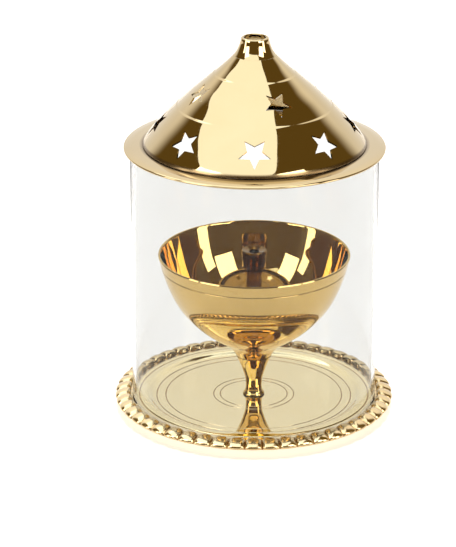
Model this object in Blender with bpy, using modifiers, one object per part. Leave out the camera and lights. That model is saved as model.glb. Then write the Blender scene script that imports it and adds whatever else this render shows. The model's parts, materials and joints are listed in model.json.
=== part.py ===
"""Brass oil lamp with a glass chimney and a pierced lid.

Metres, +Z up. The origin is on the surface that the lamp stands on, on the lamp's axis.
Every piece is turned or spun about that axis, so most of them are a profile swept by Screw.
"""
import math

import bmesh
import bpy
from mathutils import Matrix, Vector

MM = 0.001
GAP = 0.3                    # clearance between pieces that touch, in millimetres

# Base plate, in millimetres like every size below
PLATE_TOP = 4.5              # height of the polished field above the table
PLATE_THICKNESS = 1.6
PLATE_HOLE_R = 1.9
FIELD_R = 43.8               # flat field inside the raised ring
RING_INNER_R = 45.6
RING_R = 48.9
RING_HEIGHT = 1.4
SEAT_HEIGHT = 1.2            # seat of the glass above the field
FOOT_RING_R = 50.0
FOOT_RING_WIDTH = 6.0
RIM_R = 60.0
BEAD_INNER_R = 53.1
BEAD_COUNT = 50
BEAD_CREST = 3.2             # height of the beads above the field
VALLEY_DROP = 1.1            # how far the rim dips between two beads
VALLEY_PULL = 0.6            # how far the rim draws in between two beads

# Stem, screw and washer
SCREW_R = 1.5
SCREW_HEAD_R = 3.0
SCREW_HEAD_HEIGHT = 1.6
WASHER_R = 4.6
WASHER_THICKNESS = 0.5
TAPPED_R = 1.8
TAPPED_DEPTH = 8.5
STEM_TOP = 18.3
STEM_TOP_R = 7.7
STEM_FOOT_R = 4.65
SPIGOT_R = 3.0
SPIGOT_HEIGHT = 4.3

# Bowl
BOWL_R = 41.0
BOWL_RIM = 64.85
BOWL_WALL = 1.15
BOWL_FLOOR = 24.5

# Wick holder
COLLAR_R = 5.3
COLLAR_TOP = 66.4
COLLAR_HEIGHT = 2.4
SLEEVE_R = 5.0
SLEEVE_HEIGHT = 7.7          # from the top of the collar to the sleeve's lower end
TUBE_R = 3.25
WICK_BORE_R = 2.05
FOOT_R = 13.8
FOOT_THICKNESS = 1.2
FOOT_BOTTOM = 27.6
OIL_HOLE_R = 1.6
OIL_HOLE_CIRCLE_R = 8.6
OIL_HOLE_COUNT = 6

# Glass
GLASS_R = 52.4
GLASS_WALL = 1.8
GLASS_TOP = 112.0
GLASS_EDGE = 0.5

# Lid
FLANGE_R = 55.1
FLANGE_INNER_R = 45.0
FLANGE_THICKNESS = 1.2
FLANGE_EDGE_Z = 112.8        # middle of the flange's rounded edge
FLANGE_DROOP = 0.6           # the flange hangs this much lower at its edge
SKIRT_R = 49.5
SKIRT_WIDTH = 1.0
SKIRT_BOTTOM = 110.6
CONE_FOOT_R = 47.0
CONE_SHEET = 0.8
TIER_STEP = 0.35             # little ledge where one tier ends and the next begins
NOZZLE_BOTTOM = 152.9
NOZZLE_TOP = 160.2
NOZZLE_BORE_R = 4.6
STAR_DEPTH = 8.0
STAR_WAIST = 0.46            # inner corners' radius as a share of the tips'

# Star rows: how many, turn of the first from the front in degrees, height, tip radius
STAR_ROWS = (
    (8, 0.0, 122.7, 7.0),
    (4, -67.7, 138.2, 6.3),
)

# Sides of the round pieces
LARGE_STEPS = 48
MEDIUM_STEPS = 32
SMALL_STEPS = 24

BRASS = (0.72, 0.50, 0.20)
DARK_BRASS = (0.50, 0.34, 0.13)
STEEL = (0.55, 0.54, 0.52)
CLEAR = (0.93, 0.95, 0.95)


def clear_scene():
    for old in list(bpy.data.objects):
        bpy.data.objects.remove(old, do_unlink=True)


def collection(name):
    found = bpy.data.collections.new(name)
    bpy.context.scene.collection.children.link(found)
    return found


def finish(name, colour, roughness, metallic, alpha=1.0):
    material = bpy.data.materials.new(name)
    material.use_nodes = True
    shader = material.node_tree.nodes["Principled BSDF"]
    shader.inputs["Base Color"].default_value = (*colour, 1.0)
    shader.inputs["Roughness"].default_value = roughness
    shader.inputs["Metallic"].default_value = metallic
    shader.inputs["Alpha"].default_value = alpha
    return material


def smooth_through(points, pieces):
    """A smooth open curve through the points, with so many pieces between two of them."""
    ends = [points[0]] + list(points) + [points[-1]]
    curve = []
    for i in range(1, len(ends) - 2):
        a, b, c, d = (Vector(p) for p in ends[i - 1:i + 3])
        for k in range(pieces):
            t = k / pieces
            curve.append(tuple(0.5 * (2 * b + (c - a) * t + (2 * a - 5 * b + 4 * c - d) * t ** 2
                                      + (3 * b - a - 3 * c + d) * t ** 3)))
    curve.append(tuple(points[-1]))
    return curve


def add_object(name, mesh, material, group):
    piece = bpy.data.objects.new(name, mesh)
    group.objects.link(piece)
    if material:
        mesh.materials.clear()
        mesh.materials.append(material)
    return piece


def evaluated_mesh(piece):
    graph = bpy.context.evaluated_depsgraph_get()
    return bpy.data.meshes.new_from_object(piece.evaluated_get(graph))


def smooth_shade(mesh, angle=35.0):
    mesh.shade_smooth()
    mesh.set_sharp_from_angle(angle=math.radians(angle))


def turned(name, profile, steps, material, group, closed=True):
    """Sweeps (radius, height) points, in millimetres above the field, about the lamp's axis."""
    mesh = bpy.data.meshes.new(name)
    shape = bmesh.new()
    corners = [shape.verts.new((r * MM, 0.0, (PLATE_TOP + z) * MM)) for r, z in profile]
    for first, second in zip(corners, corners[1:]):
        shape.edges.new((first, second))
    if closed:
        shape.edges.new((corners[-1], corners[0]))
    shape.to_mesh(mesh)
    shape.free()
    piece = add_object(name, mesh, material, group)
    sweep = piece.modifiers.new("Turn", "SCREW")
    sweep.axis = "Z"
    sweep.steps = steps
    sweep.render_steps = steps
    sweep.use_merge_vertices = True
    sweep.merge_threshold = 0.00001
    sweep.use_smooth_shade = True
    return piece


def baked(piece):
    """Replaces a piece's mesh with what its modifiers make, so that its points can be moved or cut."""
    mesh = evaluated_mesh(piece)
    piece.modifiers.clear()
    piece.data = mesh
    smooth_shade(mesh)
    return piece


def cut(piece, cutters):
    """Cuts every object of a collection out of the piece."""
    hole = piece.modifiers.new("Cut", "BOOLEAN")
    hole.operation = "DIFFERENCE"
    hole.operand_type = "COLLECTION"
    hole.collection = cutters
    hole.solver = "EXACT"


def hide(cutter):
    cutter.hide_render = True
    cutter.display_type = "WIRE"


def base_plate(group, material):
    under = -PLATE_THICKNESS
    table = -PLATE_TOP
    foot_in = FOOT_RING_R - FOOT_RING_WIDTH
    profile = [
        (PLATE_HOLE_R, 0.0),
        (FIELD_R, 0.0),
        (RING_INNER_R, RING_HEIGHT),
        (RING_R, RING_HEIGHT),
        (RING_R + 0.6, SEAT_HEIGHT),
        (BEAD_INNER_R - 0.2, SEAT_HEIGHT),
        (BEAD_INNER_R, SEAT_HEIGHT + 0.8),
        (BEAD_INNER_R + 1.0, BEAD_CREST),
        (RIM_R - 3.4, BEAD_CREST - 0.6),
        (RIM_R - 0.9, 1.9),
        (RIM_R, 0.9),
        (RIM_R - 0.7, -0.2),
        (RIM_R - 2.2, -0.7),
        (FOOT_RING_R + 1.5, under),
        (FOOT_RING_R, under),
        (FOOT_RING_R, table),
        (foot_in, table),
        (foot_in, under),
        (PLATE_HOLE_R, under),
    ]
    plate = baked(turned("base_plate", profile, 2 * BEAD_COUNT, material, group))
    turn = 2 * math.pi / BEAD_COUNT
    for point in plate.data.vertices:
        radius = math.hypot(point.co.x, point.co.y)
        height = point.co.z / MM - PLATE_TOP
        share = (math.atan2(point.co.y, point.co.x) / turn) % 1.0
        in_valley = 0.25 < share < 0.75
        if in_valley and radius > (BEAD_INNER_R - 0.05) * MM and height > -0.5:
            drop = VALLEY_DROP if height > 1.5 else 0.0
            pull = VALLEY_PULL if radius > (RIM_R - 2.0) * MM else 0.0
            point.co.x *= 1 - pull * MM / radius
            point.co.y *= 1 - pull * MM / radius
            point.co.z -= drop * MM
    return plate


def stem(group, material):
    flare = smooth_through([
        (STEM_TOP_R, STEM_TOP),
        (5.9, 14.0),
        (4.7, 10.8),
        (3.6, 7.0),
        (3.55, 4.0),
    ], 2)
    profile = [
        (0.0, STEM_TOP + SPIGOT_HEIGHT),
        (SPIGOT_R, STEM_TOP + SPIGOT_HEIGHT),
        (SPIGOT_R, STEM_TOP),
    ] + flare + [
        (3.7, 2.3),
        (4.4, 0.9),
        (STEM_FOOT_R, GAP),
        (TAPPED_R, GAP),
        (TAPPED_R, GAP + TAPPED_DEPTH),
        (0.0, GAP + TAPPED_DEPTH),
    ]
    return turned("stem", profile, SMALL_STEPS, material, group, closed=False)


def stem_screw(group, material):
    head_top = -PLATE_THICKNESS - WASHER_THICKNESS - 2 * GAP
    head_bottom = head_top - SCREW_HEAD_HEIGHT
    profile = [
        (0.0, TAPPED_DEPTH - 1.0),
        (SCREW_R, TAPPED_DEPTH - 1.0),
        (SCREW_R, head_top),
        (SCREW_HEAD_R, head_top),
        (SCREW_HEAD_R, head_bottom + 0.5),
        (SCREW_HEAD_R - 0.6, head_bottom),
        (0.0, head_bottom),
    ]
    screw = turned("stem_screw", profile, SMALL_STEPS, material, group, closed=False)
    screw_slots = collection("screw_slot_cutters")
    bpy.ops.mesh.primitive_cube_add(
        size=1.0, location=(0.0, 0.0, (PLATE_TOP + head_bottom) * MM))
    slot = bpy.context.object
    slot.name = "screw_slot_cutter"
    slot.dimensions = (3 * SCREW_HEAD_R * MM, 0.8 * MM, 1.2 * MM)
    bpy.context.view_layer.update()
    for user in list(slot.users_collection):
        user.objects.unlink(slot)
    screw_slots.objects.link(slot)
    hide(slot)
    cut(screw, screw_slots)
    return screw


def stem_washer(group, material):
    top = -PLATE_THICKNESS - GAP
    profile = [
        (SCREW_R + GAP, top),
        (WASHER_R, top),
        (WASHER_R, top - WASHER_THICKNESS),
        (SCREW_R + GAP, top - WASHER_THICKNESS),
    ]
    return turned("stem_washer", profile, SMALL_STEPS, material, group)


def bowl(group, material):
    socket_r = SPIGOT_R + GAP
    socket_top = STEM_TOP + SPIGOT_HEIGHT + GAP
    inside = smooth_through([
        (0.0, BOWL_FLOOR),
        (12.5, 26.3),
        (22.3, 32.9),
        (31.8, 43.2),
        (37.8, 57.0),
        (BOWL_R - BOWL_WALL, BOWL_RIM - 0.5),
    ], 2)
    outside = smooth_through([
        (BOWL_R, BOWL_RIM - 0.5),
        (39.0, 57.0),
        (33.1, 43.0),
        (23.4, 32.0),
        (13.5, 25.0),
        (STEM_TOP_R, STEM_TOP + GAP),
    ], 2)
    rim = [(BOWL_R - 0.55, BOWL_RIM)]
    boss = [(socket_r, STEM_TOP + GAP), (socket_r, socket_top), (0.0, socket_top)]
    return turned("bowl", inside + rim + outside + boss, LARGE_STEPS, material, group, closed=False)


def wick_tube(group, material):
    bottom = FOOT_BOTTOM - 1.0
    profile = [
        (WICK_BORE_R, COLLAR_TOP - 0.9),
        (COLLAR_R - 0.5, COLLAR_TOP),
        (COLLAR_R, COLLAR_TOP - 0.3),
        (COLLAR_R, COLLAR_TOP - COLLAR_HEIGHT),
        (SLEEVE_R, COLLAR_TOP - COLLAR_HEIGHT - 0.2),
        (SLEEVE_R, COLLAR_TOP - SLEEVE_HEIGHT),
        (TUBE_R, COLLAR_TOP - SLEEVE_HEIGHT - 0.2),
        (TUBE_R, bottom),
        (WICK_BORE_R, bottom),
    ]
    return turned("wick_tube", profile, SMALL_STEPS, material, group)


def wick_foot(group, material):
    profile = [
        (TUBE_R + GAP, FOOT_BOTTOM + FOOT_THICKNESS),
        (FOOT_R - 0.3, FOOT_BOTTOM + FOOT_THICKNESS),
        (FOOT_R, FOOT_BOTTOM + FOOT_THICKNESS - 0.3),
        (FOOT_R, FOOT_BOTTOM + 0.5),
        (FOOT_R - 0.6, FOOT_BOTTOM),
        (TUBE_R + GAP, FOOT_BOTTOM),
    ]
    foot = turned("wick_foot", profile, MEDIUM_STEPS, material, group)
    drills = collection("oil_hole_cutters")
    for i in range(OIL_HOLE_COUNT):
        angle = 2 * math.pi * i / OIL_HOLE_COUNT
        bpy.ops.mesh.primitive_cylinder_add(
            vertices=12, radius=OIL_HOLE_R * MM, depth=3 * FOOT_THICKNESS * MM,
            location=(OIL_HOLE_CIRCLE_R * MM * math.cos(angle),
                      OIL_HOLE_CIRCLE_R * MM * math.sin(angle),
                      (PLATE_TOP + FOOT_BOTTOM + FOOT_THICKNESS / 2) * MM))
        drill = bpy.context.object
        drill.name = f"oil_hole_cutter_{i + 1}"
        for user in list(drill.users_collection):
            user.objects.unlink(drill)
        drills.objects.link(drill)
        hide(drill)
    cut(foot, drills)
    return foot


def glass_chimney(group, material):
    bottom = SEAT_HEIGHT + GAP
    inner = GLASS_R - GLASS_WALL
    profile = [
        (inner + GLASS_EDGE, GLASS_TOP),
        (GLASS_R - GLASS_EDGE, GLASS_TOP),
        (GLASS_R, GLASS_TOP - GLASS_EDGE),
        (GLASS_R, bottom),
        (inner, bottom),
        (inner, GLASS_TOP - GLASS_EDGE),
    ]
    return turned("glass_chimney", profile, LARGE_STEPS, material, group)


def flange_middle(radius):
    """Height of the middle of the flange's sheet at a radius: it droops evenly to its edge."""
    out = (FLANGE_R - radius) / (FLANGE_R - CONE_FOOT_R)
    return FLANGE_EDGE_Z + FLANGE_DROOP * min(out, 1.0)


def lid_flange(group, material):
    half = FLANGE_THICKNESS / 2
    radii = (FLANGE_INNER_R, CONE_FOOT_R, 51.0, FLANGE_R - 0.5)
    top = [(r, flange_middle(r) + half) for r in radii]
    under = [(r, flange_middle(r) - half) for r in reversed(radii)]
    edge = [(FLANGE_R, FLANGE_EDGE_Z)]
    return turned("lid_flange", top + edge + under, LARGE_STEPS, material, group)


def lid_skirt(group, material):
    top = flange_middle(SKIRT_R) - FLANGE_THICKNESS / 2 - GAP
    profile = [
        (SKIRT_R - SKIRT_WIDTH, top),
        (SKIRT_R, top),
        (SKIRT_R, SKIRT_BOTTOM + 0.4),
        (SKIRT_R - 0.4, SKIRT_BOTTOM),
        (SKIRT_R - SKIRT_WIDTH, SKIRT_BOTTOM),
    ]
    return turned("lid_skirt", profile, LARGE_STEPS, material, group)


CONE_FOOT_Z = flange_middle(CONE_FOOT_R) + FLANGE_THICKNESS / 2 + GAP

# Outer face of the pierced cone from the top down: three shallow tiers, each a little crowned
CONE_TIERS = (
    ((8.9, NOZZLE_BOTTOM - GAP), (12.6, 148.9), (16.9, 145.0)),
    ((16.9 + TIER_STEP, 144.9), (25.2, 137.9), (32.4, 131.1)),
    ((32.4 + TIER_STEP, 131.0), (39.3, 124.2), (44.6, 118.0), (46.8, 115.2), (CONE_FOOT_R, CONE_FOOT_Z)),
)


def cone_radius(height):
    """Radius of the cone's outer face at a height, and the slope of the face there."""
    points = [p for tier in CONE_TIERS for p in tier]
    for (r1, z1), (r2, z2) in zip(points, points[1:]):
        if z2 <= height <= z1:
            share = (z1 - height) / (z1 - z2)
            return r1 + share * (r2 - r1), math.atan2(z1 - z2, r2 - r1)
    raise ValueError("height is not on the cone")


def star_mesh(tip_radius):
    """A five-pointed star as a flat curve with a thickness, turned into a mesh."""
    outline = bpy.data.curves.new("star", "CURVE")
    outline.dimensions = "2D"
    outline.fill_mode = "BOTH"
    outline.extrude = STAR_DEPTH * MM / 2
    spline = outline.splines.new("POLY")
    spline.points.add(9)
    for i, point in enumerate(spline.points):
        reach = tip_radius * MM * (STAR_WAIST if i % 2 else 1.0)
        angle = math.pi * i / 5 - math.pi / 2
        point.co = (reach * math.cos(angle), reach * math.sin(angle), 0.0, 1.0)
    spline.use_cyclic_u = True
    carrier = bpy.data.objects.new("star_outline", outline)
    bpy.context.scene.collection.objects.link(carrier)
    bpy.context.view_layer.update()
    mesh = evaluated_mesh(carrier)
    bpy.data.objects.remove(carrier)
    shape = bmesh.new()
    shape.from_mesh(mesh)
    bmesh.ops.remove_doubles(shape, verts=shape.verts, dist=0.00001)
    bmesh.ops.recalc_face_normals(shape, faces=shape.faces)
    shape.to_mesh(mesh)
    shape.free()
    return mesh


def star_cutters():
    cutters = collection("star_cutters")
    for row, (count, first, height, tip_radius) in enumerate(STAR_ROWS):
        mesh = star_mesh(tip_radius)
        radius, slope = cone_radius(height)
        lean = Matrix.Rotation(slope, 4, "X")
        place = Matrix.Translation((0.0, -radius * MM, (PLATE_TOP + height) * MM))
        for i in range(count):
            turn = Matrix.Rotation(math.radians(first + 360.0 * i / count), 4, "Z")
            cutter = add_object(f"star_cutter_{row + 1}_{i + 1}", mesh, None, cutters)
            cutter.matrix_world = turn @ place @ lean
            hide(cutter)
    return cutters


def lid_cone(group, material):
    profile = [p for tier in CONE_TIERS for p in smooth_through(tier, 2)]
    cone = turned("lid_cone", profile, LARGE_STEPS, material, group, closed=False)
    sheet = cone.modifiers.new("Sheet", "SOLIDIFY")
    sheet.thickness = CONE_SHEET * MM
    sheet.offset = -1.0
    cut(cone, star_cutters())
    return cone


def lid_nozzle(group, material):
    outside = smooth_through([(5.8, NOZZLE_TOP - 0.5), (6.3, 157.8), (7.3, 155.3), (8.8, NOZZLE_BOTTOM)], 2)
    profile = [(NOZZLE_BORE_R, NOZZLE_TOP), (5.3, NOZZLE_TOP)] + outside + [
        (7.9, NOZZLE_BOTTOM), (5.6, 156.2), (NOZZLE_BORE_R, 158.2)]
    return turned("lid_nozzle", profile, SMALL_STEPS, material, group)


def main():
    clear_scene()
    lamp = collection("glass_chimney_oil_lamp")
    polished = finish("polished_brass", BRASS, 0.12, 1.0)
    turned_brass = finish("turned_brass", BRASS, 0.2, 1.0)
    tube_brass = finish("dull_brass", DARK_BRASS, 0.3, 1.0)
    steel = finish("zinc_plated_steel", STEEL, 0.35, 1.0)
    clear_glass = finish("clear_glass", CLEAR, 0.03, 0.0, alpha=0.25)

    base_plate(lamp, polished)
    stem(lamp, turned_brass)
    stem_screw(lamp, steel)
    stem_washer(lamp, steel)
    bowl(lamp, polished)
    wick_tube(lamp, tube_brass)
    wick_foot(lamp, tube_brass)
    glass_chimney(lamp, clear_glass)
    lid_flange(lamp, polished)
    lid_skirt(lamp, turned_brass)
    lid_cone(lamp, polished)
    lid_nozzle(lamp, polished)


main()
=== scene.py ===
import json
import math

import bmesh
import bpy
from mathutils import Matrix, Vector

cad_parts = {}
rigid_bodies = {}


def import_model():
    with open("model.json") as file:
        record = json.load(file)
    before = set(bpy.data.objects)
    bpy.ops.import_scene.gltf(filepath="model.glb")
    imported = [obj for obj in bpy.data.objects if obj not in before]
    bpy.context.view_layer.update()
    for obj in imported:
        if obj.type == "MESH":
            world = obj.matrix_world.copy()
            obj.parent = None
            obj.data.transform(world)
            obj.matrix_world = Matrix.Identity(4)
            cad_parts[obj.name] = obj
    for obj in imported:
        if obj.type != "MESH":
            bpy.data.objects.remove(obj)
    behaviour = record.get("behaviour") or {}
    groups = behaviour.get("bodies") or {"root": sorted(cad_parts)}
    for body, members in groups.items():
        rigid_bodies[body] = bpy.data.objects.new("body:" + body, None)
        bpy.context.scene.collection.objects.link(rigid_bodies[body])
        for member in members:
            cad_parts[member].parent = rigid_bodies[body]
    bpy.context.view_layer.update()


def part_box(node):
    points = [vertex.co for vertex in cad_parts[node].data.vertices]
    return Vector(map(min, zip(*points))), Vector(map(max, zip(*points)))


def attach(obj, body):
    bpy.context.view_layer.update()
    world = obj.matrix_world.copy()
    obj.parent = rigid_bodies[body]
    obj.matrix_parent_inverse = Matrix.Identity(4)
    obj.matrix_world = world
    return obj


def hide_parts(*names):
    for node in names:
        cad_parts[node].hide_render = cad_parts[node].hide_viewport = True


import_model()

mm = 0.001
seatGap = 0.3                 # the clearance that touching pieces keep, in millimetres


def boxOf(node):
    low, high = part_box(node)
    return low / mm, high / mm


# the plate's polished field is the level that every height below is measured from, in millimetres
fieldZ = boxOf("stem")[0].z - seatGap


def topOf(node):
    return boxOf(node)[1].z - fieldZ


def bottomOf(node):
    return boxOf(node)[0].z - fieldZ


def radiusOf(node):
    return boxOf(node)[1].x


# sRGB hex to the linear values that shaders take
def toLinear(hexColour):
    channels = []
    for i in (0, 2, 4):
        value = int(hexColour.lstrip("#")[i:i + 2], 16) / 255
        channels.append(value / 12.92 if value <= 0.04045 else ((value + 0.055) / 1.055) ** 2.4)
    return (*channels, 1.0)


# outlines are lists of (radius, height); this one is a smooth line with a point about every spacing
def smoothRun(points, spacing=0.8):
    ends = [points[0], *points, points[-1]]
    line = []
    for i in range(1, len(ends) - 2):
        a, b, c, d = (Vector(p) for p in ends[i - 1:i + 3])
        pieces = max(2, round((c - b).length / spacing))
        for k in range(pieces):
            t = k / pieces
            p = 0.5 * (2 * b + (c - a) * t + (2 * a - 5 * b + 4 * c - d) * t ** 2
                       + (3 * b - a - 3 * c + d) * t ** 3)
            line.append((p.x, p.y))
    line.append(tuple(points[-1]))
    return line


# corners given as (radius, height, fillet) are rounded, the others stay sharp
def filleted(points, closed=False, pieces=4):
    line = []
    count = len(points)
    for i, point in enumerate(points):
        fillet = point[2] if len(point) > 2 else 0.0
        here = Vector(point[:2])
        if not fillet or (not closed and i in (0, count - 1)):
            line.append(tuple(here))
            continue
        before = Vector(points[i - 1][:2]) - here
        after = Vector(points[(i + 1) % count][:2]) - here
        start = here + before.normalized() * min(fillet, before.length * 0.49)
        end = here + after.normalized() * min(fillet, after.length * 0.49)
        for k in range(pieces + 1):
            t = k / pieces
            p = start * (1 - t) ** 2 + here * 2 * t * (1 - t) + end * t ** 2
            line.append((p.x, p.y))
    return line


# cuts a fine turned line into an outline, where its radius (axis 0) or its height (axis 1) is where
def engraved(line, where, width, depth, axis=1):
    for i in range(len(line) - 1):
        low, high = line[i][axis], line[i + 1][axis]
        if not min(low, high) <= where < max(low, high):
            continue
        a, b = Vector(line[i]), Vector(line[i + 1])
        along = (b - a).normalized()
        outward = Vector((-along.y, along.x))       # outlines run with the metal on their right
        middle = a + (b - a) * ((where - low) / (high - low))
        groove = []
        for k in range(-3, 4):
            share = k / 3
            drop = depth * (1 - share * share)
            groove.append(tuple(middle + along * (width / 2 * share) - outward * drop))
        first, last = Vector(groove[0]), Vector(groove[-1])
        kept = [p for p in line[:i + 1] if (Vector(p) - first).dot(along) < -0.02]
        rest = [p for p in line[i + 1:] if (Vector(p) - last).dot(along) > 0.02]
        return kept + groove + rest
    return line


# the same line moved into the metal by the sheet's thickness
def inset(line, distance):
    moved = []
    for i, point in enumerate(line):
        before = Vector(line[max(i - 1, 0)])
        after = Vector(line[min(i + 1, len(line) - 1)])
        along = (after - before).normalized()
        moved.append((point[0] + along.y * distance, point[1] - along.x * distance))
    return moved


# the same line with count points at even distances
def evenlySpaced(line, count):
    reached = [0.0]
    for a, b in zip(line, line[1:]):
        reached.append(reached[-1] + (Vector(b) - Vector(a)).length)
    even = []
    for k in range(count - 1):
        target = reached[-1] * k / (count - 1)
        i = max(j for j, length in enumerate(reached[:-1]) if length <= target)
        share = (target - reached[i]) / (reached[i + 1] - reached[i])
        even.append(tuple(Vector(line[i]).lerp(Vector(line[i + 1]), share)))
    return even + [line[-1]]


def newPiece(name, shape, body, replaced, material, sharpAngle=32):
    mesh = bpy.data.meshes.new(name)
    shape.to_mesh(mesh)
    shape.free()
    mesh.shade_smooth()
    mesh.set_sharp_from_angle(angle=math.radians(sharpAngle))
    piece = bpy.data.objects.new(name, mesh)
    bpy.context.scene.collection.objects.link(piece)
    piece.data.materials.append(material)
    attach(piece, body)
    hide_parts(replaced)
    return piece


# spins an outline about the lamp's axis; a point on the axis becomes the middle of a disc
def turnedShape(line, steps, closed=False):
    shape = bmesh.new()
    rings = []
    for radius, height in line:
        z = (fieldZ + height) * mm
        if radius < 0.01:
            rings.append([shape.verts.new((0.0, 0.0, z))])
            continue
        ring = []
        for k in range(steps):
            angle = math.tau * k / steps
            ring.append(shape.verts.new((radius * mm * math.cos(angle), radius * mm * math.sin(angle), z)))
        rings.append(ring)
    pairs = list(zip(rings, rings[1:]))
    if closed:
        pairs.append((rings[-1], rings[0]))
    for upper, lower in pairs:
        for k in range(steps):
            n = (k + 1) % steps
            if len(upper) == 1:
                shape.faces.new((upper[0], lower[k], lower[n]))
            elif len(lower) == 1:
                shape.faces.new((upper[k], lower[0], upper[n]))
            else:
                shape.faces.new((upper[k], lower[k], lower[n], upper[n]))
    return shape


def cutterCollection(name):
    cutters = bpy.data.collections.new(name)
    bpy.context.scene.collection.children.link(cutters)
    return cutters


# a flat outline given a thickness and put in its place, as a cutter
def prism(name, outline, thickness, place, cutters):
    shape = bmesh.new()
    corners = [shape.verts.new((x * mm, y * mm, -thickness * mm / 2)) for x, y in outline]
    face = shape.faces.new(corners)
    grown = bmesh.ops.extrude_face_region(shape, geom=[face])
    raised = [v for v in grown["geom"] if isinstance(v, bmesh.types.BMVert)]
    bmesh.ops.translate(shape, verts=raised, vec=(0, 0, thickness * mm))
    bmesh.ops.recalc_face_normals(shape, faces=shape.faces)
    mesh = bpy.data.meshes.new(name)
    shape.to_mesh(mesh)
    shape.free()
    cutter = bpy.data.objects.new(name, mesh)
    cutters.objects.link(cutter)
    cutter.matrix_world = place


# takes the cutters out of a piece, keeps the result as its mesh, and removes the cutters
def cutAway(piece, cutters):
    hole = piece.modifiers.new("cut", "BOOLEAN")
    hole.operation = "DIFFERENCE"
    hole.operand_type = "COLLECTION"
    hole.collection = cutters
    hole.solver = "EXACT"
    bpy.context.view_layer.update()
    graph = bpy.context.evaluated_depsgraph_get()
    mesh = bpy.data.meshes.new_from_object(piece.evaluated_get(graph))
    piece.modifiers.clear()
    piece.data = mesh
    mesh.shade_smooth()
    mesh.set_sharp_from_angle(angle=math.radians(32))
    for cutter in list(cutters.objects):
        bpy.data.objects.remove(cutter)
    bpy.data.collections.remove(cutters)


def newMaterial(name):
    material = bpy.data.materials.new(name)
    material.use_nodes = True
    tree = material.node_tree
    return material, tree, tree.nodes["Principled BSDF"]


# adds a node, sets its properties, and fills or links its inputs
def addNode(tree, kind, settings=None, inputs=None):
    node = tree.nodes.new(kind)
    for key, value in (settings or {}).items():
        setattr(node, key, value)
    for key, value in (inputs or {}).items():
        socket = node.inputs[key]
        if isinstance(value, bpy.types.NodeSocket):
            tree.links.new(value, socket)
        else:
            socket.default_value = value
    return node


# Brass sheet, spun and then buffed on a cloth wheel. The buffing leaves a near mirror whose reflections
# waver a little, with faint hazy smears; grooves keep a line of dark polish, and creases and joints get
# painted shade in the same dark colour.
buffedBrass = {
    "bright": "#C1AC84",
    "deep": "#BAA377",
    "shadeAndOldPolish": "#4A2E0E",
    "mottleMm": 26.0,
    "turnedLineMm": 0.9,       # real turning lines are finer: drawn as coarse as the view can show
    "waverMm": 15.0,
    "waverDepthMm": 0.05,
    "turnedDepthMm": 0.003,
    "roughness": (0.02, 0.07),
    "shadeAndPolishDulls": 0.3,          # how much rougher the marked places, old polish and painted shade alike, are than the metal
}
# the plate is cast from paler brass, with the widest hazy smears from handling; its dark colour is a
# lighter brown, for painted shade between its beads and at the ring's foot and for old polish in its engraved
# rings
plateBrass = {
    **buffedBrass,
    "bright": "#FCEBBE",
    "deep": "#F7E1AC",
    "shadeAndOldPolish": "#8E5E1C",
    "mottleMm": 34.0,
    "roughness": (0.02, 0.09),
}
# the bowl and the stem are cast from brass richer in copper and then turned: a warmer gold, and the
# sharpest mirror
castBrass = {
    **buffedBrass,
    "bright": "#E0C07C",
    "deep": "#DCB972",
    "waverMm": 9.0,
    "waverDepthMm": 0.02,
    "roughness": (0.008, 0.035),
}
# Brass turned on a lathe and left as the tool made it, warmed by the flame: fine rings and a softer shine
latheBrass = {
    **buffedBrass,
    "bright": "#94702F",
    "deep": "#78541F",
    "mottleMm": 7.0,
    "turnedLineMm": 0.5,
    "waverMm": 6.0,
    "waverDepthMm": 0.01,
    "roughness": (0.05, 0.14),
}


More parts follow.
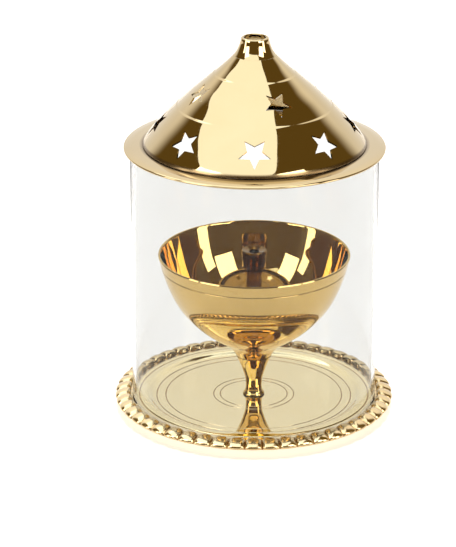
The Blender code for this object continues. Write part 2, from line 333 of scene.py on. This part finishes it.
def brassMaterial(name, look):
    material, tree, shader = newMaterial(name)
    where = addNode(tree, "ShaderNodeTexCoord").outputs["Object"]
    mottle = addNode(tree, "ShaderNodeTexNoise", {}, {
        "Vector": where, "Scale": 1 / (look["mottleMm"] * mm), "Detail": 5.0, "Roughness": 0.6})
    tone = addNode(tree, "ShaderNodeMix", {"data_type": "RGBA"}, {
        "Factor": mottle.outputs["Fac"], 6: toLinear(look["bright"]), 7: toLinear(look["deep"])})
    # painted shade in creases, at joints and between the beads, with old polish in the grooves, stored on the
    # mesh from 0 to 1
    shadeAndOldPolish = addNode(tree, "ShaderNodeAttribute", {"attribute_name": "shadeAndOldPolish"})
    markStrength = addNode(tree, "ShaderNodeMapRange", {}, {
        "Value": mottle.outputs["Fac"], "From Min": 0.3, "From Max": 0.7, "To Min": 0.7, "To Max": 1.0})
    shadeAndPolishMask = addNode(tree, "ShaderNodeMath", {"operation": "MULTIPLY"}, {
        0: shadeAndOldPolish.outputs["Fac"], 1: markStrength.outputs["Result"]})
    colour = addNode(tree, "ShaderNodeMix", {"data_type": "RGBA"}, {
        "Factor": shadeAndPolishMask.outputs["Value"], 6: tone.outputs[2], 7: toLinear(look["shadeAndOldPolish"])})
    tree.links.new(colour.outputs[2], shader.inputs["Base Color"])

    # turning lines follow the radius and the height, so they run round the axis
    split = addNode(tree, "ShaderNodeSeparateXYZ", {}, {"Vector": where})
    flat = addNode(tree, "ShaderNodeCombineXYZ", {}, {"X": split.outputs["X"], "Y": split.outputs["Y"]})
    radius = addNode(tree, "ShaderNodeVectorMath", {"operation": "LENGTH"}, {0: flat.outputs["Vector"]})
    path = addNode(tree, "ShaderNodeCombineXYZ", {}, {"X": radius.outputs["Value"], "Y": split.outputs["Z"]})
    lines = addNode(tree, "ShaderNodeTexNoise", {}, {
        "Vector": path.outputs["Vector"], "Scale": 1 / (look["turnedLineMm"] * mm), "Detail": 3.0})
    smears = addNode(tree, "ShaderNodeTexNoise", {}, {
        "Vector": where, "Scale": 2.2 / (look["mottleMm"] * mm), "Detail": 6.0, "Roughness": 0.65,
        "Distortion": 0.8})
    blend = addNode(tree, "ShaderNodeMath", {"operation": "MULTIPLY"}, {
        0: lines.outputs["Fac"], 1: smears.outputs["Fac"]})
    smooth, hazy = look["roughness"]
    rough = addNode(tree, "ShaderNodeMapRange", {}, {
        "Value": blend.outputs["Value"], "From Min": 0.15, "From Max": 0.42,
        "To Min": smooth, "To Max": hazy})
    dulled = addNode(tree, "ShaderNodeMath", {"operation": "MULTIPLY_ADD", "use_clamp": True}, {
        0: shadeAndPolishMask.outputs["Value"], 1: look["shadeAndPolishDulls"], 2: rough.outputs["Result"]})
    tree.links.new(dulled.outputs["Value"], shader.inputs["Roughness"])

    waver = addNode(tree, "ShaderNodeTexNoise", {}, {
        "Vector": where, "Scale": 1 / (look["waverMm"] * mm), "Detail": 1.0})
    swell = addNode(tree, "ShaderNodeBump", {}, {
        "Height": waver.outputs["Fac"], "Strength": 1.0, "Distance": look["waverDepthMm"] * mm})
    fine = addNode(tree, "ShaderNodeBump", {}, {
        "Height": lines.outputs["Fac"], "Strength": 0.25, "Distance": look["turnedDepthMm"] * mm,
        "Normal": swell.outputs["Normal"]})
    tree.links.new(fine.outputs["Normal"], shader.inputs["Normal"])
    shader.inputs["Metallic"].default_value = 1.0
    return material


# Soda-lime glass drawn as a tube and cut: clear, a little grey through its thickness, and rippled along
# its length so that highlights bend. Real glass has an index near 1.5; this one is far lower, which keeps
# the bright table from hazing the inside and leaves the edges thin.
drawnGlass = {
    "tint": "#E4E5E5",
    "rippleMm": 9.0,
    "rippleDepthMm": 0.004,
    "stretch": 0.12,
    "ior": 1.03,
    "coat": 0.3,               # gives back some of the sheen that the low index takes away
}


def glassMaterial(name, look):
    material, tree, shader = newMaterial(name)
    where = addNode(tree, "ShaderNodeTexCoord").outputs["Object"]
    drawn = addNode(tree, "ShaderNodeMapping", {}, {"Vector": where, "Scale": (1.0, 1.0, look["stretch"])})
    ripple = addNode(tree, "ShaderNodeTexNoise", {}, {
        "Vector": drawn.outputs["Vector"], "Scale": 1 / (look["rippleMm"] * mm), "Detail": 1.0})
    bump = addNode(tree, "ShaderNodeBump", {}, {
        "Height": ripple.outputs["Fac"], "Strength": 1.0, "Distance": look["rippleDepthMm"] * mm})
    tree.links.new(bump.outputs["Normal"], shader.inputs["Normal"])
    shader.inputs["Base Color"].default_value = toLinear(look["tint"])
    shader.inputs["Roughness"].default_value = 0.0
    shader.inputs["Transmission Weight"].default_value = 1.0
    shader.inputs["IOR"].default_value = look["ior"]
    shader.inputs["Coat Weight"].default_value = look["coat"]
    shader.inputs["Coat Roughness"].default_value = 0.0
    return material


# Mild steel, zinc-plated: cool grey with a dull spangle
platedSteel = {
    "light": "#B9B8B2",
    "dark": "#8B8A86",
    "spangleMm": 1.4,
}


def platedMaterial(name, look):
    material, tree, shader = newMaterial(name)
    where = addNode(tree, "ShaderNodeTexCoord").outputs["Object"]
    spangle = addNode(tree, "ShaderNodeTexVoronoi", {}, {
        "Vector": where, "Scale": 1 / (look["spangleMm"] * mm)})
    tone = addNode(tree, "ShaderNodeMix", {"data_type": "RGBA"}, {
        "Factor": spangle.outputs["Distance"], 6: toLinear(look["light"]), 7: toLinear(look["dark"])})
    tree.links.new(tone.outputs[2], shader.inputs["Base Color"])
    rough = addNode(tree, "ShaderNodeMapRange", {}, {
        "Value": spangle.outputs["Distance"], "To Min": 0.25, "To Max": 0.45})
    tree.links.new(rough.outputs["Result"], shader.inputs["Roughness"])
    shader.inputs["Metallic"].default_value = 1.0
    return material


buffed = brassMaterial("buffed_sheet_brass", buffedBrass)
paleCast = brassMaterial("buffed_pale_cast_brass", plateBrass)
cast = brassMaterial("buffed_cast_brass", castBrass)
lathe = brassMaterial("lathe_turned_brass", latheBrass)
glass = glassMaterial("drawn_soda_lime_glass", drawnGlass)
plated = platedMaterial("zinc_plated_steel", platedSteel)
print("materials: four brasses, glass and plated steel")


# stores how much painted shade and old polish lies at each point; howMuch takes the radius, the height and
# the point
def shadeAndPolishAttribute(piece, howMuch):
    layer = piece.data.attributes.new("shadeAndOldPolish", "FLOAT", "POINT")
    values = []
    for vertex in piece.data.vertices:
        point = vertex.co / mm
        values.append(howMuch(math.hypot(point.x, point.y), point.z - fieldZ, point))
    layer.data.foreach_set("value", values)


basePlate = {
    "fieldR": 43.8,
    "ringInnerR": 45.6,
    "ringTop": 1.4,
    "ringOuterR": 48.9,
    "seatZ": 1.2,
    "beadInnerR": 53.1,
    "rimR": radiusOf("base_plate"),
    "underZ": -1.6,
    "footOuterR": 50.0,
    "footInnerR": 44.0,
    "tableZ": bottomOf("base_plate"),
    "screwHoleR": 1.9,
    "engravedRings": (14.5, 17.3, 38.0, 41.9),
    "engravedWidth": 0.5,
    "engravedDepth": 0.2,
    "beads": 50,
    "stepsPerBead": 12,
    "beadTint": 0.5,           # how far the beads are tinted towards the dark colour all over
}


def makeBasePlate(o):
    inner, rim = o["beadInnerR"], o["rimR"]
    field = filleted([
        (o["screwHoleR"], 0.0), (o["fieldR"] - 0.3, 0.0, 1.2), (o["ringInnerR"], o["ringTop"], 1.0),
        (o["ringOuterR"], o["ringTop"], 0.5), (o["ringOuterR"] + 0.35, 0.85, 0.25),
        (o["ringOuterR"] + 0.8, o["seatZ"], 0.3), (inner - 0.3, o["seatZ"])], pieces=7)
    for radius in o["engravedRings"]:
        field = engraved(field, radius, o["engravedWidth"], o["engravedDepth"], axis=0)
    crest = smoothRun([
        (inner, 1.25), (inner + 0.1, 2.2), (inner + 0.8, 3.05), (inner + 2.2, 3.25), (rim - 3.0, 2.85),
        (rim - 1.1, 2.0), (rim, 0.75), (rim - 0.4, -0.15), (rim - 1.6, -0.75), (rim - 3.6, -1.15)], 0.5)
    valley = smoothRun([
        (inner + 0.9, 1.22), (inner + 1.3, 1.25), (inner + 1.8, 1.4), (inner + 2.6, 1.45), (rim - 3.0, 1.2),
        (rim - 1.9, 0.75), (rim - 1.1, 0.2), (rim - 1.1, -0.25), (rim - 1.9, -0.75), (rim - 3.6, -1.15)], 0.5)
    rows = min(len(crest), len(valley))
    crest, valley = evenlySpaced(crest, rows), evenlySpaced(valley, rows)
    under = filleted([
        (o["footOuterR"] + 1.0, o["underZ"], 0.6), (o["footOuterR"], o["underZ"] - 0.5, 0.5),
        (o["footOuterR"], o["tableZ"], 0.6), (o["footInnerR"], o["tableZ"], 0.6),
        (o["footInnerR"], o["underZ"], 0.5), (o["screwHoleR"], o["underZ"])])
    steps = o["beads"] * o["stepsPerBead"]
    shape = turnedShape(field + crest + under, steps, closed=True)
    shape.verts.ensure_lookup_table()
    first = len(field) * steps
    for row in range(rows):
        top, dip = Vector(crest[row]), Vector(valley[row])
        for k in range(steps):
            # 0 at the middle of a bead, 1 in the gap between two
            across = abs((k / o["stepsPerBead"]) % 1.0 * 2 - 1)
            point = dip.lerp(top, math.sqrt(1 - across ** 2.6))
            angle = math.tau * k / steps
            shape.verts[first + row * steps + k].co = Vector((
                point.x * math.cos(angle), point.x * math.sin(angle), fieldZ + point.y)) * mm
    plate = newPiece("plate_with_beaded_rim", shape, "base", "base_plate", paleCast, 40)

    # painted shade: darkest in the gaps between the beads and in the gutter at the ring's outer foot; the
    # engraved rings keep a line of dark polish
    def shadeAndOldPolish(radius, height, point):
        if radius > inner - 0.6 and height > -1.0:
            across = abs((math.atan2(point.y, point.x) / math.tau * o["beads"]) % 1.0 * 2 - 1)
            return max(o["beadTint"], (across - 0.7) / 0.3)
        if o["ringOuterR"] < radius < o["ringOuterR"] + 0.7 and 0 < height < 1.15:
            return 0.6
        near = min(abs(radius - line) for line in o["engravedRings"])
        return 0.8 if near < o["engravedWidth"] * 0.45 and height > -0.5 else 0.0

    shadeAndPolishAttribute(plate, shadeAndOldPolish)


makeBasePlate(basePlate)
print("base plate: field, rings and beaded rim")


stem = {
    "topZ": 18.3,
    "topR": 7.7,
    "footR": 4.65,
    "spigotR": 3.0,
    "spigotTop": topOf("stem"),
    "tappedR": 1.8,
    "tappedDepth": 8.5,
}


def makeStem(o):
    line = [(0.0, o["spigotTop"]), (o["spigotR"], o["spigotTop"]), (o["spigotR"], o["topZ"])]
    line += smoothRun([
        (o["topR"], o["topZ"]), (6.75, 16.2), (5.75, 13.9), (4.65, 10.8), (3.75, 7.9), (3.5, 5.6),
        (3.45, 4.0), (3.6, 2.6), (3.95, 1.6), (4.5, 0.8), (o["footR"], seatGap)], 0.4)
    line += [(o["tappedR"], seatGap), (o["tappedR"], seatGap + o["tappedDepth"]),
             (0.0, seatGap + o["tappedDepth"])]
    piece = newPiece("turned_stem", turnedShape(line, 96), "base", "stem", cast)
    # painted shade round the stem's foot, where it meets the plate
    shadeAndPolishAttribute(piece, lambda radius, height, point: 0.7 if height < 0.5 else 0.0)


screw = {
    "shankR": 1.5,
    "shankTop": topOf("stem_screw"),
    "headR": radiusOf("stem_screw"),
    "headBottom": bottomOf("stem_screw"),
    "headHeight": 1.6,
    "slotWidth": 0.8,
    "slotDepth": 0.6,
}


def makeScrew(o):
    headTop = o["headBottom"] + o["headHeight"]
    line = filleted([
        (0.0, o["shankTop"]), (o["shankR"], o["shankTop"], 0.3), (o["shankR"], headTop),
        (o["headR"], headTop, 0.15), (o["headR"], o["headBottom"] + 0.4, 0.4),
        (o["headR"] - 0.9, o["headBottom"], 0.4), (0.0, o["headBottom"])])
    piece = newPiece("slotted_screw", turnedShape(line, 48), "base", "stem_screw",
                     plated)
    half, across = o["slotWidth"] / 2, o["headR"] + 1.0
    slot = [(-across, -half), (across, -half), (across, half), (-across, half)]
    cutters = cutterCollection("screwSlot")
    place = Matrix.Translation((0, 0, (fieldZ + o["headBottom"]) * mm))
    prism("slotCutter", slot, 2 * o["slotDepth"], place, cutters)
    cutAway(piece, cutters)


washer = {
    "outerR": radiusOf("stem_washer"),
    "holeR": 1.8,
    "topZ": topOf("stem_washer"),
    "bottomZ": bottomOf("stem_washer"),
}


def makeWasher(o):
    line = filleted([
        (o["holeR"], o["topZ"], 0.08), (o["outerR"], o["topZ"], 0.12),
        (o["outerR"], o["bottomZ"], 0.12), (o["holeR"], o["bottomZ"], 0.08)], closed=True)
    newPiece("plain_washer", turnedShape(line, 48, closed=True), "base", "stem_washer",
             plated)


makeStem(stem)
makeScrew(screw)
makeWasher(washer)
print("stem, screw and washer")


oilBowl = {
    "rimR": radiusOf("bowl"),
    "rimZ": topOf("bowl"),
    "wall": 1.15,
    "lineZ": 59.5,             # one line turned round the outside, under the rim
    "lineWidth": 0.5,
    "lineDepth": 0.18,
    "bossR": 7.7,
    "bossZ": bottomOf("bowl"),
    "socketR": 3.3,
    "socketDepth": 4.3,
}


def makeBowl(o):
    rim, top = o["rimR"], o["rimZ"]
    inside = smoothRun([
        (0.0, 24.5), (6.5, 24.9), (12.5, 26.3), (17.8, 29.2), (22.3, 32.9), (27.3, 37.6), (31.8, 43.2),
        (35.3, 49.8), (37.8, 57.0), (rim - o["wall"], top - 0.5)], 0.9)
    outside = smoothRun([
        (rim, top - 0.5), (39.1, 57.0), (36.6, 50.0), (33.1, 43.0), (28.5, 37.0), (23.4, 32.0),
        (18.0, 27.9), (13.5, 25.0), (10.3, 22.3), (8.6, 20.1), (o["bossR"], o["bossZ"])], 0.9)
    outside = engraved(outside, o["lineZ"], o["lineWidth"], o["lineDepth"])
    lip = [(rim - o["wall"] + 0.25, top - 0.1), (rim - 0.55, top), (rim - 0.2, top - 0.1)]
    socketTop = o["bossZ"] + o["socketDepth"]
    boss = [(o["socketR"], o["bossZ"]), (o["socketR"], socketTop), (0.0, socketTop)]
    piece = newPiece("oil_bowl", turnedShape(inside + lip + outside + boss, 240), "base", "bowl",
                     cast)

    def shadeAndOldPolish(radius, height, point):
        return 0.7 if abs(height - o["lineZ"]) < 0.2 and radius > 39 else 0.0

    shadeAndPolishAttribute(piece, shadeAndOldPolish)


makeBowl(oilBowl)
print("oil bowl")


wickTube = {
    "collarR": radiusOf("wick_tube"),
    "collarHeight": 2.4,
    "sleeveR": 5.0,
    "sleeveHeight": 7.7,
    "topZ": topOf("wick_tube"),
    "bottomZ": bottomOf("wick_tube"),
    "tubeR": 3.25,
    "boreR": 2.05,
}


def makeWickTube(o):
    collar, top, bore = o["collarR"], o["topZ"], o["boreR"]
    line = [(bore, top - 0.9), (bore + 0.5, top - 0.75)]
    line += filleted([
        (bore + 0.9, top - 0.6), (collar - 0.35, top, 0.3), (collar, top - 0.4, 0.25),
        (collar, top - o["collarHeight"], 0.25), (o["sleeveR"], top - o["collarHeight"] - 0.2, 0.2),
        (o["sleeveR"], top - o["sleeveHeight"], 0.3), (o["tubeR"], top - o["sleeveHeight"] - 0.2, 0.3),
        (o["tubeR"], o["bottomZ"])])
    line += [(bore, o["bottomZ"])]
    piece = newPiece("wick_tube_turned", turnedShape(line, 72, closed=True), "wick_holder", "wick_tube",
                     lathe)
    # painted shade inside the bore
    shadeAndPolishAttribute(piece, lambda radius, height, point: 0.9 if radius < bore + 0.4 else 0.0)


wickFoot = {
    "outerR": radiusOf("wick_foot"),
    "holeR": 3.55,
    "topZ": topOf("wick_foot"),
    "bottomZ": bottomOf("wick_foot"),
    "oilHoles": 6,
    "oilHoleR": 1.6,
    "oilHoleCircleR": 8.6,
    "oilHoleCorners": 24,
    "drillLength": 6.0,
}


def makeWickFoot(o):
    line = filleted([
        (o["holeR"], o["topZ"]), (o["outerR"], o["topZ"], 0.35), (o["outerR"], o["bottomZ"] + 0.5, 0.2),
        (o["outerR"] - 0.6, o["bottomZ"], 0.3), (o["holeR"], o["bottomZ"])], closed=True)
    piece = newPiece("wick_foot_disc", turnedShape(line, 96, closed=True), "wick_holder", "wick_foot",
                     lathe)
    drill = []
    for k in range(o["oilHoleCorners"]):
        angle = math.tau * k / o["oilHoleCorners"]
        drill.append((o["oilHoleR"] * math.cos(angle), o["oilHoleR"] * math.sin(angle)))
    cutters = cutterCollection("oilHoles")
    for i in range(o["oilHoles"]):
        turn = Matrix.Rotation(math.tau * i / o["oilHoles"], 4, "Z")
        place = Matrix.Translation((o["oilHoleCircleR"] * mm, 0, (fieldZ + o["bottomZ"]) * mm))
        prism(f"oilHole{i}", drill, o["drillLength"], turn @ place, cutters)
    cutAway(piece, cutters)


makeWickTube(wickTube)
makeWickFoot(wickFoot)
print("wick tube and foot")


glassTube = {
    "outerR": radiusOf("glass_chimney"),
    "wall": 1.8,
    "topZ": topOf("glass_chimney"),
    "bottomZ": bottomOf("glass_chimney"),
    "edge": 0.7,
}


def makeGlass(o):
    outer, inner = o["outerR"], o["outerR"] - o["wall"]
    line = filleted([
        (inner, o["topZ"], o["edge"]), (outer, o["topZ"], o["edge"]), (outer, o["bottomZ"], o["edge"]),
        (inner, o["bottomZ"], o["edge"])], closed=True, pieces=5)
    newPiece("glass_cylinder", turnedShape(line, 256, closed=True), "glass", "glass_chimney",
             glass, 60)


makeGlass(glassTube)
print("glass cylinder")


lid = {
    "flangeR": radiusOf("lid_flange"),
    "flangeInnerR": 45.0,
    "flangeEdgeZ": 112.8,
    "flangeThickness": 1.2,
    "droop": 0.6,
    "coneFootR": 47.0,
    "skirtR": radiusOf("lid_skirt"),
    "skirtWidth": 1.0,
    "skirtBottom": bottomOf("lid_skirt"),
    "skirtTop": topOf("lid_skirt"),
    "sheet": 0.8,
    "tierStep": 0.35,
    "coneTop": topOf("lid_cone"),
    "nozzleTop": topOf("lid_nozzle"),
    "nozzleBoreR": 4.6,
    "starWaist": 0.46,
    "starCutDepth": 8.0,
    # how many stars, turn of the first from the front in degrees, height, tip radius
    "starRows": ((8, 0.0, 122.7, 7.0), (4, -67.7, 138.2, 6.3)),
}


# height of the middle of the flange's sheet, which droops evenly to its edge
def flangeMiddle(o, radius):
    out = (o["flangeR"] - radius) / (o["flangeR"] - o["coneFootR"])
    return o["flangeEdgeZ"] + o["droop"] * min(out, 1.0)


def makeFlange(o):
    half = o["flangeThickness"] / 2
    edgeR, edgeZ = o["flangeR"], o["flangeEdgeZ"]
    radii = (o["flangeInnerR"], o["coneFootR"], 48.5, 51.0, edgeR - 0.6)
    top = [(r, flangeMiddle(o, r) + half) for r in radii]
    below = [(r, flangeMiddle(o, r) - half) for r in reversed(radii)]
    edge = smoothRun([top[-1], (edgeR - 0.15, edgeZ + 0.35), (edgeR, edgeZ), (edgeR - 0.15, edgeZ - 0.35),
                      below[0]], 0.2)
    piece = newPiece("lid_flange_ring", turnedShape(top[:-1] + edge + below[1:], 256, closed=True), "lid",
                     "lid_flange", buffed)
    # painted shade in the crease where the cone stands on the flange
    shadeAndPolishAttribute(piece, lambda radius, height, point: 0.9 if radius < o["coneFootR"] + 0.1 else 0.0)


def makeSkirt(o):
    inner = o["skirtR"] - o["skirtWidth"]
    line = filleted([
        (inner, o["skirtTop"]), (o["skirtR"], o["skirtTop"]), (o["skirtR"], o["skirtBottom"], 0.4),
        (inner, o["skirtBottom"], 0.3)], closed=True)
    newPiece("lid_skirt_ring", turnedShape(line, 192, closed=True), "lid", "lid_skirt",
             lathe)


# outer face from the top down: three shallow tiers, each a little crowned
def coneOutline(o):
    footZ = flangeMiddle(o, o["coneFootR"]) + o["flangeThickness"] / 2 + seatGap
    step = o["tierStep"]
    upper = smoothRun([(8.9, o["coneTop"]), (12.6, 148.9), (16.9, 145.0)])
    middle = smoothRun([(16.9 + step, 144.9), (21.2, 141.4), (26.9, 136.4), (32.4, 131.1)])
    lower = smoothRun([
        (32.4 + step, 131.0), (36.1, 127.6), (39.3, 124.2), (42.2, 120.9), (44.6, 118.0), (46.2, 115.9),
        (o["coneFootR"] - 0.1, footZ + 0.4), (o["coneFootR"], footZ)])
    return upper + middle + lower


def starOutline(tipR, waist):
    points = []
    for i in range(10):
        reach = tipR * (waist if i % 2 else 1.0)
        angle = math.pi * i / 5 - math.pi / 2
        points.append((reach * math.cos(angle), reach * math.sin(angle)))
    return points


def makeCone(o):
    outside = coneOutline(o)
    inside = inset(outside, o["sheet"])
    inside[-1] = (outside[-1][0] - o["sheet"], outside[-1][1])
    piece = newPiece("pierced_cone", turnedShape(outside + inside[::-1], 288, closed=True), "lid", "lid_cone",
                     buffed)
    cutters = cutterCollection("stars")
    for row, (count, firstTurn, height, tipR) in enumerate(o["starRows"]):
        near = min(range(len(outside)), key=lambda i: abs(outside[i][1] - height))
        above, below = outside[near - 2], outside[near + 2]
        slope = math.atan2(above[1] - below[1], below[0] - above[0])
        stand = Matrix.Translation((0, -outside[near][0] * mm, (fieldZ + height) * mm))
        stand = stand @ Matrix.Rotation(slope, 4, "X")
        for i in range(count):
            turn = Matrix.Rotation(math.radians(firstTurn + 360 * i / count), 4, "Z")
            outline = starOutline(tipR, o["starWaist"])
            prism(f"star{row}_{i}", outline, o["starCutDepth"], turn @ stand, cutters)
    cutAway(piece, cutters)
    # painted shade along the cone's foot, in the crease above the flange
    footZ = outside[-1][1]
    shadeAndPolishAttribute(piece, lambda radius, height, point: 0.85 if height < footZ + 1.2 else 0.0)


def makeNozzle(o):
    bottom, top, bore = o["coneTop"] + 0.03, o["nozzleTop"], o["nozzleBoreR"]
    outside = smoothRun([
        (5.75, top - 0.3), (6.0, top - 1.0), (6.3, top - 2.4), (6.85, top - 3.9), (7.7, top - 5.8),
        (8.88, bottom)], 0.4)
    lip = [(bore, top - 0.25), (bore + 0.15, top - 0.06), (bore + 0.35, top), (5.3, top)]
    inside = smoothRun([(7.9, bottom), (6.3, top - 5.4), (5.2, top - 3.3), (bore, top - 1.8)], 0.5)
    newPiece("vent_nozzle", turnedShape(lip + outside + inside, 128, closed=True), "lid", "lid_nozzle",
             buffed)


makeFlange(lid)
makeSkirt(lid)
makeCone(lid)
makeNozzle(lid)
print("lid: flange, skirt, pierced cone and nozzle")


# azimuths are in degrees round the lamp: 0 is the camera's side, and positive is to its right
room = {
    "floorColour": "#F8F8F8",
    "floorSize": 9.0,
    "floorGlow": 0.6,              # the lamp stands on a table of frosted acrylic lit from below
    "frostMm": 1.1,
    "unlitColour": "#77612F",      # the unlit room that polished brass mirrors
    "paperColour": "#FFFFFF",      # the lit paper behind the lamp
    "paperBack": (0.5, 0.75),      # how far behind the lamp a direction points where the paper fades in
    "paperHeight": (0.30, 0.62),   # the paper brightens between these heights, as the sine of elevation
    "paperLight": (1.22, 1.55),
    "paperTop": (0.80, 0.86),      # and it ends between these
    "fill": 1.6,
    "fillColour": "#FAFCFF",
    "fillSpread": 16,              # degrees across
    "lampMiddle": 0.08,
}


def makeFloor(o):
    material, tree, shader = newMaterial("frosted_acrylic_light_table")
    where = addNode(tree, "ShaderNodeTexCoord").outputs["Object"]
    frost = addNode(tree, "ShaderNodeTexNoise", {}, {"Vector": where, "Scale": 1 / (o["frostMm"] * mm)})
    bump = addNode(tree, "ShaderNodeBump", {}, {
        "Height": frost.outputs["Fac"], "Strength": 0.05, "Distance": 0.1 * mm})
    tree.links.new(bump.outputs["Normal"], shader.inputs["Normal"])
    shader.inputs["Base Color"].default_value = toLinear(o["floorColour"])
    shader.inputs["Roughness"].default_value = 0.8
    shader.inputs["Emission Color"].default_value = toLinear(o["floorColour"])
    shader.inputs["Emission Strength"].default_value = o["floorGlow"]
    shape = bmesh.new()
    bmesh.ops.create_grid(shape, x_segments=2, y_segments=2, size=o["floorSize"] / 2)
    mesh = bpy.data.meshes.new("floor")
    shape.to_mesh(mesh)
    shape.free()
    mesh.materials.append(material)
    floor = bpy.data.objects.new("floor", mesh)
    bpy.context.scene.collection.objects.link(floor)


# the world is a dark room with lit paper behind the lamp; seen directly, or through the glass, it is pale
def makeWorld(o):
    world = bpy.data.worlds.new("studio")
    world.use_nodes = True
    tree = world.node_tree
    towards = addNode(tree, "ShaderNodeTexCoord").outputs["Generated"]
    split = addNode(tree, "ShaderNodeSeparateXYZ", {}, {"Vector": towards})
    level = addNode(tree, "ShaderNodeCombineXYZ", {}, {"X": split.outputs["X"], "Y": split.outputs["Y"]})
    reach = addNode(tree, "ShaderNodeVectorMath", {"operation": "LENGTH"}, {0: level.outputs["Vector"]})
    back = addNode(tree, "ShaderNodeMath", {"operation": "DIVIDE"}, {
        0: split.outputs["Y"], 1: reach.outputs["Value"]})
    behind = addNode(tree, "ShaderNodeMapRange", {"interpolation_type": "SMOOTHSTEP"}, {
        "Value": back.outputs["Value"], "From Min": o["paperBack"][0], "From Max": o["paperBack"][1]})
    bright = addNode(tree, "ShaderNodeMapRange", {}, {
        "Value": split.outputs["Z"], "From Min": o["paperHeight"][0], "From Max": o["paperHeight"][1],
        "To Min": o["paperLight"][0], "To Max": o["paperLight"][1]})
    below = addNode(tree, "ShaderNodeMapRange", {"interpolation_type": "SMOOTHSTEP"}, {
        "Value": split.outputs["Z"], "From Min": o["paperTop"][0], "From Max": o["paperTop"][1],
        "To Min": 1.0, "To Max": 0.0})
    share = addNode(tree, "ShaderNodeMath", {"operation": "MULTIPLY"}, {
        0: behind.outputs["Result"], 1: below.outputs["Result"]})
    paper = addNode(tree, "ShaderNodeBackground", {}, {
        "Color": toLinear(o["paperColour"]), "Strength": bright.outputs["Result"]})
    unlit = tree.nodes["Background"]
    unlit.inputs["Color"].default_value = toLinear(o["unlitColour"])
    mirrored = addNode(tree, "ShaderNodeMixShader", {}, {
        0: share.outputs["Value"], 1: unlit.outputs[0], 2: paper.outputs[0]})
    direct = addNode(tree, "ShaderNodeBackground", {}, {"Color": toLinear(o["floorColour"])})
    seen = addNode(tree, "ShaderNodeLightPath")
    bounces = addNode(tree, "ShaderNodeMath", {"operation": "ADD", "use_clamp": True}, {
        0: seen.outputs["Glossy Depth"], 1: seen.outputs["Diffuse Depth"]})
    both = addNode(tree, "ShaderNodeMixShader", {}, {
        0: bounces.outputs["Value"], 1: direct.outputs[0], 2: mirrored.outputs[0]})
    tree.links.new(both.outputs[0], tree.nodes["World Output"].inputs["Surface"])
    bpy.context.scene.world = world


# a fill from straight above, which whitens the table, keeps the lamp's shadow under its plate, and leaves
# no mark in the polished brass
def makeFill(o):
    sun = bpy.data.lights.new("fill", "SUN")
    sun.energy = o["fill"]
    sun.color = toLinear(o["fillColour"])[:3]
    sun.angle = math.radians(o["fillSpread"])
    fill = bpy.data.objects.new("fill", sun)
    fill.visible_glossy = False
    fill.visible_transmission = False
    bpy.context.scene.collection.objects.link(fill)


def around(azimuth, elevation, distance):
    a, e = math.radians(azimuth), math.radians(elevation)
    return Vector((math.sin(a) * math.cos(e) * distance, -math.cos(a) * math.cos(e) * distance,
                   room["lampMiddle"] + math.sin(e) * distance))


# a soft box seen at the given brightness, where 1 is white; the boxes are there to be mirrored, so they
# leave the floor to the fill
def addSoftBox(name, place, aim, size, brightness, colour="#FFFFFF"):
    lamp = bpy.data.lights.new(name, "AREA")
    lamp.shape = "RECTANGLE"
    lamp.size, lamp.size_y = size
    lamp.energy = brightness * math.pi * size[0] * size[1]
    lamp.color = toLinear(colour)[:3]
    box = bpy.data.objects.new(name, lamp)
    box.location = place
    box.rotation_euler = (Vector(aim) - Vector(place)).to_track_quat("-Z", "Y").to_euler()
    box.visible_diffuse = False
    bpy.context.scene.collection.objects.link(box)


makeFloor(room)
makeWorld(room)
makeFill(room)

# metres; it lights the front of the lid, and hangs flat
overhead = {
    "across": -0.36,
    "back": -0.325,
    "height": 1.33,
    "size": (1.6, 2.35),
    "brightness": 2.4,
    "colour": "#E4F1FF",
}
# azimuth and elevation in degrees, width and height in metres, brightness; the boxes make the white
# panels inside the bowl, and the strips the upright bars beside them
frontBoxes = {
    "rightBox": (44, 32, (0.68, 0.8), 5.2),
    "leftBox": (-55, 31, (0.58, 0.8), 5.2),
    "rightStrip": (68, 12, (0.38, 0.75), 4.6),
    "leftStrip": (-76, 12, (0.3, 0.75), 4.6),
}
frontBoxDistance = 1.5

addSoftBox("overheadBox", (overhead["across"], overhead["back"], overhead["height"]),
           (overhead["across"], overhead["back"], 0.0), overhead["size"], overhead["brightness"],
           overhead["colour"])
for name, (azimuth, elevation, size, brightness) in frontBoxes.items():
    place = around(azimuth, elevation, frontBoxDistance)
    addSoftBox(name, place, (0.0, 0.0, room["lampMiddle"]), size, brightness)

bpy.context.scene.view_settings.view_transform = "Standard"

view = {
    "lensMm": 184.1,
    "sensorMm": 36.0,
    "back": 1.1154,
    "heightMm": 482.0,         # above the plate's field
    "down": 0.3653,            # radians below level
    "roll": 0.0100,
}


def makeCamera(o):
    lens = bpy.data.cameras.new("camera")
    lens.lens = o["lensMm"]
    lens.sensor_width = o["sensorMm"]
    camera = bpy.data.objects.new("camera", lens)
    camera.location = (0.0, -o["back"], (o["heightMm"] + fieldZ) * mm)
    camera.rotation_euler = (math.pi / 2 - o["down"], 0.0, o["roll"])
    bpy.context.scene.collection.objects.link(camera)
    bpy.context.scene.camera = camera


makeCamera(view)
print("room, lights and camera")
